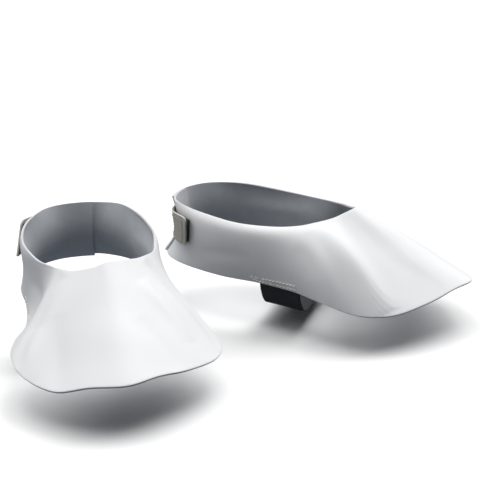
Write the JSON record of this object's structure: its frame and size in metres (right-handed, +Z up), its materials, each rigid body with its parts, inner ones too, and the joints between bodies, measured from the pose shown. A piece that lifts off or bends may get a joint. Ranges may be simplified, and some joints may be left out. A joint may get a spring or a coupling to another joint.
{
  "type": "pair of welding spats",
  "caption": "Low leather foot covers that wrap the ankle and flare over the instep, closed by a tab at the back and held by a strap under the foot, worn form, hollow.",
  "frame": {"origin": "middle of the right spat's collar opening, where the ankle it is worn on passes through, 98 mm above the ground", "axes": "+Z up; the right spat's toe points to -Y, turned 13.7 degrees to +X; the left spat's toe points to +X, turned 16.9 degrees to -Y"},
  "size_m": [0.3949, 0.3374, 0.0926],
  "materials": {
    "white_leather": "smooth white chrome-tanned leather, fine grain, low sheen",
    "grey_leather": "grey-tan leather strap, slightly napped",
    "black_tape": "black hook and loop tape",
    "black_webbing": "black elastic webbing, fine lengthwise ribs"
  },
  "bodies": {
    "root": {"wrap_right": "white_leather", "tab_right": "grey_leather", "hook_tape_right": "black_tape", "loop_tape_right": "black_tape", "strap_right": "black_webbing", "wrap_left": "white_leather", "tab_left": "grey_leather", "hook_tape_left": "black_tape", "loop_tape_left": "black_tape", "strap_left": "black_webbing"}
  },
  "joints": []
}
